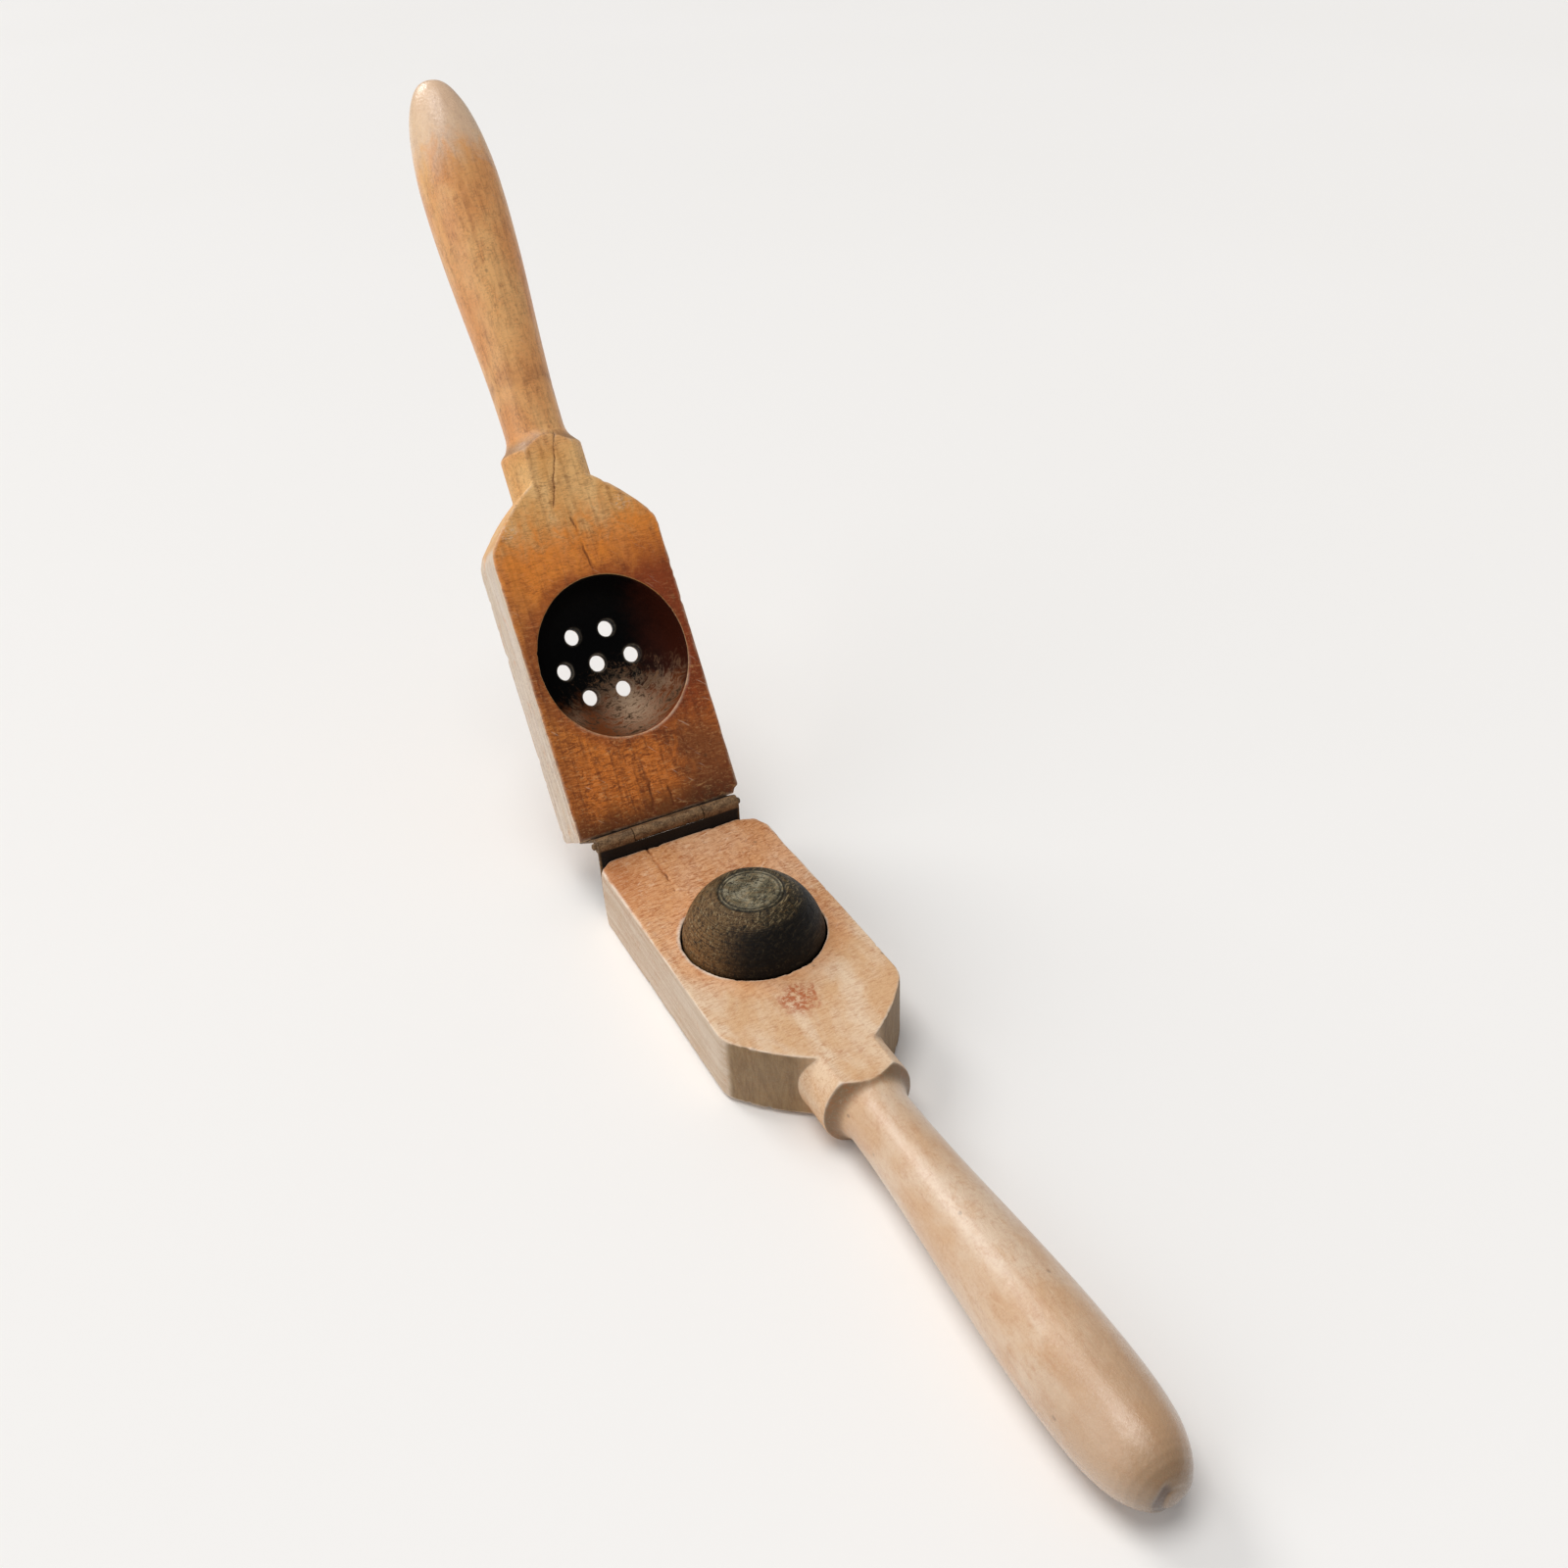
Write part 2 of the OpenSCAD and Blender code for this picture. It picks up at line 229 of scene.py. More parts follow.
class Graph:
    """A short way to write a material's nodes. Most methods take sockets or numbers and return a socket."""

    def __init__(self, name):
        self.material = bpy.data.materials.new(name)
        self.material.use_nodes = True
        self.tree = self.material.node_tree
        self.shader = self.tree.nodes["Principled BSDF"]

    def put(self, socket, value):
        if isinstance(value, bpy.types.NodeSocket):
            self.tree.links.new(value, socket)
        elif value is not None:
            socket.default_value = value

    def node(self, kind, **settings):
        made = self.tree.nodes.new(kind)
        for key, value in settings.items():
            setattr(made, key, value)
        return made

    def attribute(self, name, vector=True):
        made = self.node("ShaderNodeAttribute", attribute_name=name)
        return made.outputs["Vector" if vector else "Fac"]

    def maths(self, operation, a, b=0.0):
        made = self.node("ShaderNodeMath", operation=operation)
        for socket, value in zip(made.inputs, (a, b)):
            self.put(socket, value)
        return made.outputs[0]

    def add(self, value, *others):
        for other in others:
            value = self.maths("ADD", value, other)
        return value

    def times(self, value, *others):
        for other in others:
            value = self.maths("MULTIPLY", value, other)
        return value

    def invert(self, value):
        return self.maths("SUBTRACT", 1.0, value)

    def swing(self, value, width):
        """A noise of 0 to 1 as a shift of up to half of width either way."""
        return self.times(self.maths("SUBTRACT", value, 0.5), width)

    def split(self, vector):
        made = self.node("ShaderNodeSeparateXYZ")
        self.put(made.inputs[0], vector)
        return made.outputs[0], made.outputs[1], made.outputs[2]

    def join(self, x, y, z):
        made = self.node("ShaderNodeCombineXYZ")
        for socket, value in zip(made.inputs, (x, y, z)):
            self.put(socket, value)
        return made.outputs[0]

    def stretch(self, vector, x, y, z):
        made = self.node("ShaderNodeVectorMath", operation="MULTIPLY")
        self.put(made.inputs[0], vector)
        made.inputs[1].default_value = (x, y, z)
        return made.outputs[0]

    def spin(self, vector, angle):
        made = self.node("ShaderNodeVectorRotate", rotation_type="Z_AXIS")
        self.put(made.inputs["Vector"], vector)
        made.inputs["Angle"].default_value = angle
        return made.outputs[0]

    def noise(self, vector, scale, detail=3.0, rough=0.5, twist=0.0):
        made = self.node("ShaderNodeTexNoise")
        self.put(made.inputs["Vector"], vector)
        for key, value in (("Scale", scale), ("Detail", detail), ("Roughness", rough), ("Distortion", twist)):
            made.inputs[key].default_value = value
        return made.outputs[0]

    def cells(self, vector, scale):
        made = self.node("ShaderNodeTexVoronoi")
        self.put(made.inputs["Vector"], vector)
        made.inputs["Scale"].default_value = scale
        return made.outputs["Distance"]

    def fade(self, value, low, high, at_low=0.0, at_high=1.0):
        """A smooth step from at_low to at_high as value goes from low to high."""
        made = self.node("ShaderNodeMapRange", interpolation_type="SMOOTHSTEP")
        for socket, item in zip(made.inputs, (value, low, high, at_low, at_high)):
            self.put(socket, item)
        return made.outputs[0]

    def mix(self, factor, a, b):
        made = self.node("ShaderNodeMix", data_type="RGBA")
        self.put(made.inputs["Factor"], factor)
        self.put(made.inputs["A"], a)
        self.put(made.inputs["B"], b)
        return made.outputs["Result"]

    def over(self, base, tint, *masks):
        """base, with tint laid over it as far as the masks' product allows."""
        return self.mix(self.times(*masks), base, tint)

    def distance(self, a, b, a0=0.0, b0=0.0):
        """The length of (a - a0, b - b0)."""
        x = self.maths("SUBTRACT", a, a0)
        y = self.maths("SUBTRACT", b, b0)
        return self.maths("SQRT", self.add(self.times(x, x), self.times(y, y)))

    def bump(self, height, strength, depth):
        made = self.node("ShaderNodeBump")
        made.inputs["Strength"].default_value = strength
        made.inputs["Distance"].default_value = depth
        self.put(made.inputs["Height"], height)
        return made.outputs[0]

    def finish(self, base, rough, normal=None, specular=0.5, metallic=0.0, polish=0.0):
        for key, value in (("Base Color", base), ("Roughness", rough), ("Metallic", metallic),
                           ("Normal", normal), ("Specular IOR Level", specular), ("Coat Weight", polish),
                           ("Coat Roughness", COAT_ROUGHNESS)):
            self.put(self.shader.inputs[key], value)
        return self.material


def wood_noises(g, place):
    """What both halves share: streaks along the grain, short flecks across it, clouds, mottle and pores."""
    turned = g.fade(g.split(place)[1], 150.0, 166.0)
    fleck = g.noise(g.stretch(g.spin(place, 0.12), 0.26, 1, 1), 0.8, 5, 0.68, 1.2)
    grain = g.noise(g.stretch(place, 1, 0.3, 1), 0.6, 6, 0.72, 1.0)
    return {
        "turned": turned,
        "fleck": g.mix(turned, fleck, grain),
        "streak": g.noise(g.stretch(place, 1, 0.05, 1), 0.45, 5, 0.6, 0.3),
        "dash": g.noise(g.stretch(g.spin(place, -0.1), 0.22, 1, 1), 1.5, 3, 0.6, 0.5),
        "scratch": g.noise(g.stretch(g.spin(place, 0.75), 0.1, 1, 1), 0.8, 2, 0.5, 0.2),
        "grit": g.noise(g.stretch(place, 1, 0.7, 1), 1.0, 6, 0.75),
        "cloud": g.noise(g.stretch(place, 1, 0.45, 1), 0.055, 4, 0.55, 0.5),
        "patch": g.noise(g.stretch(place, 1, 0.6, 1), 0.16, 5, 0.65, 0.8),
        "pores": g.noise(g.stretch(place, 1, 0.3, 1), 1.9, 2, 0.5),
        "blot": g.noise(g.stretch(place, 1, 0.7, 1), 0.32, 6, 0.75, 1.0),
    }


def dry_and_shaded_parts(g, base, tones, place, facing, patch, bowl):
    """Lays on the wood that hands don't polish, and paints shade where the wood faces along the handle towards
    its end. Also gives where the sides and the shoulders are.
    """
    v = g.split(place)[1]
    nu, nv, nw = g.split(facing)
    head = g.times(g.fade(v, 142.0, 134.0), g.invert(bowl))
    # The sides and the back of the head were never oiled
    dry = g.times(head, g.fade(g.add(v, g.times(patch, 30.0)), 158.0, 130.0))
    side_grain = g.noise(g.stretch(place, 1, 0.05, 1), 0.6, 6, 0.7, 0.3)
    side_wood = g.mix(g.fade(side_grain, 0.38, 0.64), tones["side"], tones["side_deep"])
    side_wood = g.over(side_wood, tones["handle_deep"], g.fade(patch, 0.54, 0.7, 0.0, 0.4))
    side = g.times(g.fade(g.maths("ABSOLUTE", nu), 0.72, 0.93), dry)
    base = g.over(base, side_wood, side, tones["side_amount"])
    base = g.over(base, side_wood, g.fade(nw, -0.75, -0.95), dry, 0.45)
    # The sloping shoulders face along the handle, away from the light: painted shade, over an end-grain pattern
    slope = g.times(g.fade(nv, 0.3, 0.6), g.fade(g.maths("ABSOLUTE", nw), 0.5, 0.25), head,
                    g.fade(v, 108.0, 116.0))
    end_grain = g.noise(g.stretch(place, 1, 1, 0.25), 0.45, 6, 0.72, 0.4)
    slope_wood = g.mix(g.fade(end_grain, 0.28, 0.72), tones["slope"], tones["slope_deep"])
    base = g.over(base, slope_wood, slope, tones["slope_amount"])
    # So are the tip of the handle and the hollow at the collar's end, which face the same way: painted shade
    tip = g.times(g.fade(nv, 0.2, 0.8), g.fade(v, UPPER_LEN - 40.0, UPPER_LEN - 12.0))
    base = g.over(base, tones["slope_deep"], tip, tones["tip_amount"])
    lip = g.times(g.fade(nv, 0.25, 0.7), g.fade(v, 146.0, 150.0), g.fade(v, 170.0, 162.0))
    return g.over(base, tones["slope_deep"], lip, 0.88), side, slope


def wood(name, tones, stains):
    """One half's wood, in its own tones. stains(g, place, facing, patch, base) lays its own marks."""
    g = Graph(name)
    place = g.attribute("place")
    facing = g.attribute("facing")
    wear, hollow, crack, bowl = (g.attribute(key, False) for key in ("wear", "hollow", "crack", "bowl"))
    v = g.split(place)[1]
    noises = wood_noises(g, place)
    turned, patch = noises["turned"], noises["patch"]

    base = g.mix(g.fade(noises["cloud"], 0.38, 0.62), tones["light"], tones["mid"])
    handle = g.mix(g.fade(noises["cloud"], 0.36, 0.64), tones["handle"], tones["handle_deep"])
    handle = g.over(handle, tones["handle_deep"], g.fade(patch, 0.5, 0.7, 0.0, 0.6))
    base = stains(g, place, facing, patch, g.mix(turned, base, handle))
    base, side, slope = dry_and_shaded_parts(g, base, tones, place, facing, patch, bowl)

    # The figure is fainter on the polished handle and its tip, on the dry sides and towards the neck
    figure = g.times(g.fade(turned, 0.0, 1.0, 1.0, tones["handle_figure"]), g.fade(side, 0.0, 1.0, 1.0, 0.35),
                     g.fade(slope, 0.0, 1.0, 1.0, 0.25), g.fade(patch, 0.36, 0.64, 0.45, 1.0),
                     g.fade(v, 50.0, 115.0, 1.0, tones["neck_figure"]), g.invert(bowl),
                     g.fade(v, UPPER_LEN - 50.0, UPPER_LEN - 25.0, 1.0, 0.4))
    for key, low, high, tint, amount in (
            ("blot", 0.5, 0.66, "deep", tones["blot"]), ("streak", 0.46, 0.66, "deep", tones["streak"]),
            ("fleck", 0.49, 0.6, "deep", 0.8), ("dash", 0.52, 0.62, "deep", 0.75),
            ("fleck", 0.47, 0.34, "bloom", tones["bloom_amount"]), ("grit", 0.53, 0.66, "deep", 0.6),
            ("grit", 0.46, 0.32, "bloom", tones["bloom_amount"]), ("scratch", 0.66, 0.74, "pale", 0.35),
            ("pores", 0.66, 0.74, "dark", 0.6)):
        base = g.over(base, tones[tint], g.fade(noises[key], low, high), figure, amount)
    spots = g.cells(g.stretch(place, 1, 0.8, 1), 0.075)
    base = g.over(base, tones["dark"], g.fade(spots, 0.075, 0.03, 0.0, tones["spots"]))

    # Worn edges show pale wood, inner corners are painted darker, and cracks are dark
    chipped = g.times(wear, g.fade(g.noise(place, 0.12, 3, 0.6), 0.35, 0.65, 0.25, 1.0))
    base = g.over(base, tones["pale"], chipped, tones["wear"])
    base = g.over(base, tones["dark"], hollow, 0.8)
    crack_edge = g.mix(turned, tones["deep"], tones["slope_deep"])
    base = g.over(base, crack_edge, g.fade(crack, 0.0, 0.6, 0.0, 0.6))
    base = g.over(base, tones["dark"], g.fade(crack, 0.4, 0.95, 0.0, tones["crack"]))

    rough = g.add(g.fade(noises["grit"], 0.3, 0.7, 0.52, 0.66),
                  g.times(turned, g.fade(noises["blot"], 0.4, 0.65, -0.24, -0.14)),
                  g.times(g.fade(v, UPPER_LEN - 70.0, UPPER_LEN - 30.0), tones["tip_gloss"]))
    height = g.add(*(g.times(noises[key], 0.6) for key in ("streak", "fleck", "grit")),
                   g.times(noises["scratch"], -0.6))
    sheen = g.fade(bowl, 0.0, 1.0, g.fade(turned, 0.0, 1.0, tones["sheen"], 0.62), 0.08)
    return g.finish(base, rough, g.bump(height, 0.45, 0.0004), specular=sheen,
                    polish=g.times(turned, tones["polish"]))


def ring_mask(g, place, inner, outer, ragged):
    """1 near the press axis and 0 beyond outer mm from it, with a ragged edge."""
    u, v, _ = g.split(place)
    far = g.distance(u, v, 0.0, PRESS_V)
    far = g.add(far, g.times(g.noise(g.stretch(place, 1, 0.5, 1), 0.09, 4, 0.65), ragged))
    return g.fade(far, outer + ragged / 2, inner + ragged / 2)


def scuff(g, place, across, along, reach):
    """A ragged patch of nicks round a point on the face."""
    u, v, _ = g.split(place)
    near = g.fade(g.distance(u, v, across, along), reach, reach * 0.4)
    return g.times(near, g.fade(g.noise(place, 0.7, 4, 0.7), 0.5, 0.58))


def upper_stains(g, place, facing, patch, base):
    """Juice has turned the face orange round the bowl, and burnt brown to the right and down to the hinge."""
    tones = UPPER_TONES
    u, v, _ = g.split(place)
    on_face = g.fade(g.split(facing)[2], 0.6, 0.9)
    wander = g.swing(patch, 40.0)
    wander_u = g.add(u, g.times(wander, 0.6))
    juice = g.mix(g.fade(patch, 0.38, 0.62), tones["orange"], tones["amber"])
    base = g.over(base, juice, g.fade(g.add(v, wander), 136.0, 112.0), on_face, 0.85)
    red = g.times(g.fade(g.add(u, wander), -2.0, 24.0), g.fade(v, 118.0, 96.0))
    base = g.over(base, tones["burnt"], red, on_face, 0.95)
    base = g.over(base, tones["russet"], g.fade(g.add(v, wander), 52.0, 22.0), on_face, 0.7)
    base = g.over(base, tones["burnt"], ring_mask(g, place, 34.0, 40.0, 9.0), on_face, 0.6)
    left = g.times(g.fade(wander_u, -22.0, -33.0), g.fade(v, 120.0, 90.0))
    base = g.over(base, tones["soot"], left, on_face, 0.35)
    right = g.times(g.fade(wander_u, 8.0, 20.0), g.fade(g.add(v, g.times(u, 0.5)), 56.0, 38.0))
    base = g.over(base, tones["soot"], right, on_face, 0.75)
    base = g.over(base, tones["dark"], g.fade(g.add(v, g.times(wander, 0.5)), 14.0, 2.0), on_face, 0.75)
    for across, along, reach in ((23.0, 129.0, 5.0), (-27.0, 128.0, 6.0)):
        base = g.over(base, tones["pale"], scuff(g, place, across, along, reach), 0.4)
    # A darker ring on the handle above the collar
    band = g.times(g.fade(v, 182.0, 185.0), g.fade(v, 192.0, 186.0))
    base = g.over(base, tones["deep"], band, g.fade(patch, 0.4, 0.6, 0.1, 0.35))
    # The end of the handle is painted pale: a painted highlight, with some rubbing
    base = g.over(base, tones["pale"], g.fade(g.add(v, wander), 270.0, 292.0), 0.62)
    return g.over(base, bowl_inside(g, place), g.attribute("bowl", vector=False))


def bowl_inside(g, place):
    """Black where juice has sat, with painted shade away from the hinge; brown on the side by the hinge as
    painted light, with patches scraped bare.
    """
    tones = UPPER_TONES
    u, v, w = g.split(place)
    across = g.times(g.maths("SUBTRACT", u, BOWL_SHIFT), 1 / BOWL_R)
    along = g.times(g.maths("SUBTRACT", v, PRESS_V), -1 / BOWL_R)
    swirl = g.join(g.distance(across, along), g.times(g.maths("ARCTAN2", along, across), 0.25), 0.0)
    scrape = g.noise(swirl, 16.0, 7, 0.8, 1.2)
    blot = g.noise(place, 0.13, 5, 0.7)
    # The side by the hinge is painted as the lit side of the bowl, and the far side stays black as painted
    # shade
    lit_side = g.add(g.times(across, 0.14), g.times(along, 0.99), g.fade(across, 0.45, 0.95, 0.0, -0.25))
    ragged = g.add(lit_side, g.swing(blot, 1.1))
    inside = g.mix(g.fade(g.add(across, g.times(blot, 0.5)), 0.6, 1.15), tones["black"], tones["maroon"])
    inside = g.over(inside, tones["bowl_brown"], g.fade(ragged, 0.22, 0.66))
    bare = g.mix(g.fade(scrape, 0.36, 0.66), tones["bowl_grey"], tones["bowl_pale"])
    for spot_across, spot_along, reach in ((0.2, 0.62, 0.56), (-0.56, 0.62, 0.26), (0.7, 0.46, 0.3)):
        spot = g.add(g.distance(across, along, spot_across, spot_along), g.swing(scrape, 2.4))
        inside = g.over(inside, bare, g.fade(spot, reach, reach - 0.55, 0.0, 0.95))
    inside = g.over(inside, tones["black"], g.fade(scrape, 0.5, 0.4), g.fade(ragged, 0.2, 0.6, 0.0, 0.75))
    # Near the rim: painted shade on the far side, burnt brown as painted light on the side by the hinge
    shaded_rim = g.mix(g.fade(across, 0.2, 0.8), tones["black"], tones["maroon"])
    rim = g.mix(g.fade(ragged, 0.3, 0.9), shaded_rim, tones["burnt"])
    return g.over(inside, rim, g.fade(g.add(w, g.times(blot, 3.0)), -3.0, 0.5), 0.8)


def lower_stains(g, place, facing, patch, base):
    """Orange round the dome and by the hinge, and one old smudge. The end of the handle is painted browner and
    the gap round the dome painted black, both as painted shade.
    """
    tones = LOWER_TONES
    u, v, _ = g.split(place)
    on_face = g.fade(g.split(facing)[2], 0.6, 0.9)
    wander = g.swing(patch, 50.0)
    base = g.over(base, tones["orange"], ring_mask(g, place, 27.0, 40.0, 16.0), on_face, 0.55)
    base = g.over(base, tones["orange"], g.fade(g.add(v, wander), 70.0, 28.0), on_face, 0.55)
    corner = g.times(g.fade(g.add(u, g.times(wander, 0.4)), -16.0, -30.0), g.fade(v, 40.0, 14.0))
    base = g.over(base, tones["deep"], corner, on_face, 0.5)
    smudge = g.fade(g.add(g.distance(u, v, -3.0, 110.0), g.times(wander, 0.35)), 11.0, 4.0)
    speckle = g.fade(g.noise(place, 0.5, 5, 0.7), 0.42, 0.56, 0.15, 0.9)
    base = g.over(base, tones["stain"], smudge, on_face, speckle)
    # The wood chipped pale beside the dome
    chip = g.times(ring_mask(g, place, 27.6, 29.6, 2.5), g.fade(u, -18.0, -24.0))
    base = g.over(base, tones["pale"], chip, on_face, 0.85)
    # Painted shade: the end of the handle is painted browner
    grip = g.fade(g.add(v, g.times(wander, 0.8)), 256.0, 292.0)
    base = g.over(base, tones["grip"], grip, 0.6)
    # Painted shade: the wall of the recess round the dome is painted black
    recess = g.attribute("bowl", vector=False)
    return g.over(base, tones["black"], recess)


UPPER_TONES = {
    "light": colour(248, 198, 132), "mid": colour(238, 174, 100), "handle": colour(246, 186, 118),
    "handle_deep": colour(234, 160, 92), "deep": colour(112, 52, 14), "dark": colour(44, 22, 10),
    "bloom": colour(236, 184, 122), "pale": colour(240, 220, 194), "orange": colour(238, 136, 36),
    "amber": colour(220, 120, 34), "russet": colour(216, 118, 42), "burnt": colour(138, 54, 16),
    "soot": colour(118, 70, 36), "side": colour(226, 214, 201), "side_deep": colour(212, 194, 172),
    "slope": colour(200, 160, 112), "slope_deep": colour(164, 122, 76),
    "black": colour(5, 5, 5), "maroon": colour(66, 26, 14), "bowl_brown": colour(120, 66, 34),
    "bowl_grey": colour(138, 98, 66), "bowl_pale": colour(236, 208, 176),
    "side_amount": 0.92, "slope_amount": 0.45, "tip_amount": 0.0, "neck_figure": 0.42, "handle_figure": 0.85,
    "streak": 0.75, "blot": 0.55, "bloom_amount": 0.36, "spots": 0.4, "wear": 0.4, "crack": 0.45,
    "tip_gloss": -0.1, "sheen": 0.3, "polish": 0.15,
}
LOWER_TONES = {
    "light": colour(228, 200, 168), "mid": colour(214, 172, 128), "handle": colour(216, 189, 160),
    "handle_deep": colour(204, 164, 124), "deep": colour(166, 92, 38), "dark": colour(70, 40, 22),
    "bloom": colour(236, 212, 184), "pale": colour(242, 228, 210), "orange": colour(224, 148, 84),
    "stain": colour(170, 84, 34), "grip": colour(176, 138, 102), "side": colour(212, 195, 175),
    "side_deep": colour(194, 170, 144), "slope": colour(146, 120, 84), "slope_deep": colour(112, 86, 56),
    "black": colour(16, 11, 8),
    "side_amount": 0.9, "slope_amount": 0.92, "tip_amount": 0.75, "neck_figure": 0.4, "handle_figure": 0.6,
    "streak": 0.3, "blot": 0.3, "bloom_amount": 0.35, "spots": 0.4, "wear": 0.65, "crack": 0.75,
    "tip_gloss": -0.12, "sheen": 0.36, "polish": 0.75,
}


def dome_wood():
    """Dark, dense hardwood: greenish and dusty on its flat top, with turning lines. Painted light makes it
    paler towards the top and browner on the left, and painted shade makes the front and right near-black.
    """
    g = Graph("dome_wood")
    place = g.attribute("place")
    u, v, w = g.split(place)
    far = g.distance(u, v, 0.0, PRESS_V)
    speck = g.noise(place, 0.7, 6, 0.8, 0.9)
    cloud = g.noise(place, 0.13, 4, 0.65, 0.6)
    rings = g.noise(g.join(g.times(far, 1.5), g.times(w, 1.5), 0.0), 1.0, 3, 0.6)
    scratch = g.noise(g.stretch(g.spin(place, 0.6), 0.14, 1, 1), 1.1, 4, 0.6, 0.8)
    rubbed = g.noise(g.stretch(g.spin(place, -0.5), 0.25, 1, 1), 0.6, 6, 0.75, 1.6)

    base = g.mix(g.fade(cloud, 0.38, 0.62), colour(22, 17, 12), colour(48, 37, 23))
    # Painted light: the left side is painted browner and lighter
    brown = g.fade(g.add(u, g.swing(cloud, 30.0)), 2.0, -22.0)
    base = g.over(base, colour(132, 92, 50), brown, 0.85)
    # Painted light from above: paler towards the top
    base = g.over(base, colour(74, 66, 46), g.fade(w, 4.0, DOME_H - 1.0), 0.4)
    top = g.times(g.fade(far, DOME_TOP_R - 0.4, DOME_TOP_R - 2.2), g.fade(w, DOME_H - 3.0, DOME_H - 2.0))
    dust = g.mix(g.fade(cloud, 0.42, 0.6), colour(96, 90, 70), colour(156, 148, 124))
    base = g.over(base, dust, top, 0.9)
    # Painted shade: the front and right of the dome are painted darkest, and show the fewest marks
    shade = g.fade(g.add(g.times(u, 0.7), g.maths("SUBTRACT", v, PRESS_V)), -14.0, 15.0)
    shade = g.times(shade, g.fade(w, DOME_H - 1.0, DOME_H - 6.0))
    base = g.over(base, colour(8, 6, 5), shade, 0.97)
    lit = g.fade(shade, 0.0, 1.0, 1.0, 0.12)
    base = g.over(base, colour(12, 9, 7), g.fade(speck, 0.5, 0.58, 0.0, 0.9))
    base = g.over(base, colour(134, 116, 82), g.fade(speck, 0.46, 0.36), lit, 0.6)
    base = g.over(base, colour(110, 84, 50), g.fade(rubbed, 0.5, 0.62), lit, 0.6)
    base = g.over(base, colour(150, 130, 96), g.fade(scratch, 0.55, 0.64), lit, 0.7)
    base = g.over(base, colour(12, 9, 6), g.fade(rings, 0.52, 0.64, 0.0, 0.6))
    base = g.over(base, colour(10, 8, 6), g.attribute("groove", vector=False), 0.9)
    height = g.add(g.times(speck, 0.7), rings)
    return g.finish(base, g.fade(speck, 0.3, 0.7, 0.42, 0.62), g.bump(height, 0.6, 0.0004), specular=0.16)


def iron(name):
    """Old iron: black on the leaves and screws, as dark iron and painted shade, and tan with dusty rust on the
    barrel, the pin and the leaves' ends, as rust and painted light.
    """
    g = Graph(name)
    place = g.node("ShaderNodeTexCoord").outputs["Object"]
    rust = g.noise(g.stretch(place, 0.5, 1, 1), 500.0, 5, 0.65)
    fine = g.noise(place, 1500.0, 4, 0.7)
    black = g.mix(g.fade(rust, 0.4, 0.65), colour(16, 14, 14), colour(34, 27, 22))
    tan = g.mix(g.fade(rust, 0.36, 0.62), colour(96, 70, 44), colour(142, 110, 76))
    tan = g.over(tan, colour(176, 150, 116), g.fade(fine, 0.46, 0.3, 0.0, 0.6))
    tan = g.over(tan, colour(44, 30, 20), g.fade(fine, 0.52, 0.66, 0.0, 0.8))
    base = g.over(black, tan, g.attribute("rust_and_light", vector=False))
    height = g.add(rust, g.times(fine, 0.6))
    return g.finish(base, g.fade(rust, 0.3, 0.7, 0.5, 0.8), g.bump(height, 0.7, 0.0005), specular=0.35,
                    metallic=0.2)


# ---------------------------------------- the wooden halves
def worn_down(start, place, edges, neck, tip_v, seed, worn_corners):
    """The points with soft edges, some stretches worn rounder and a few corners worn right off.

    Also gives how far each point sinks in heavy wear, and where the collar stays crisp.
    """
    u, v, _ = place.T
    light = relaxed(start, edges, 3)
    heavy = relaxed(light, edges, 22)
    heaviest = relaxed(heavy, edges, 130)
    rim = neck + COLLAR_LEN
    crisp = smoothstep(neck - 6, neck - 1, v) * smoothstep(rim + 5, rim + 2, v)
    amount = 0.6 * smoothstep(0.0, 0.6, field(start, 14, seed)) * (1 - crisp)
    amount = np.maximum(amount, 0.45 * smoothstep(rim + 3, rim + 9, v))
    tip = smoothstep(tip_v - 45, tip_v - 25, v)
    amount = np.maximum(amount, tip)
    worn = light + (heavy - light) * amount[:, None]
    worn += (heaviest - worn) * (0.9 * tip)[:, None]
    for corner_u, corner_v, reach in worn_corners:
        near = smoothstep(reach, reach * 0.3, np.hypot(u - corner_u, v - corner_v))
        worn += (heaviest - worn) * near[:, None]
    return worn, light - heavy, crisp


def crack_mask(place, cracks, seed):
    """1 along the middle of the drying cracks, which break off here and there."""
    crack = np.zeros(len(place))
    for points, width in cracks:
        crack = np.maximum(crack, along_path(place, points, width, seed))
    return crack * smoothstep(-0.45, 0.1, field(place, 7.0, seed + 6))


def end_crease(place, tip_v, seed):
    """1 along a curved crease that goes part of the way round the end of the handle."""
    u, v, w = place.T
    end = v > tip_v - 6
    from_axis = np.hypot(u - u[end].mean(), w - w[end].mean())
    crease = smoothstep(2.3, 0.8, np.abs(from_axis - 5.6 - 0.8 * field(place, 5.0, seed + 9)))
    return crease * end * smoothstep(4.0, -2.0, u + 0.6 * (w + HEAD_T / 2))


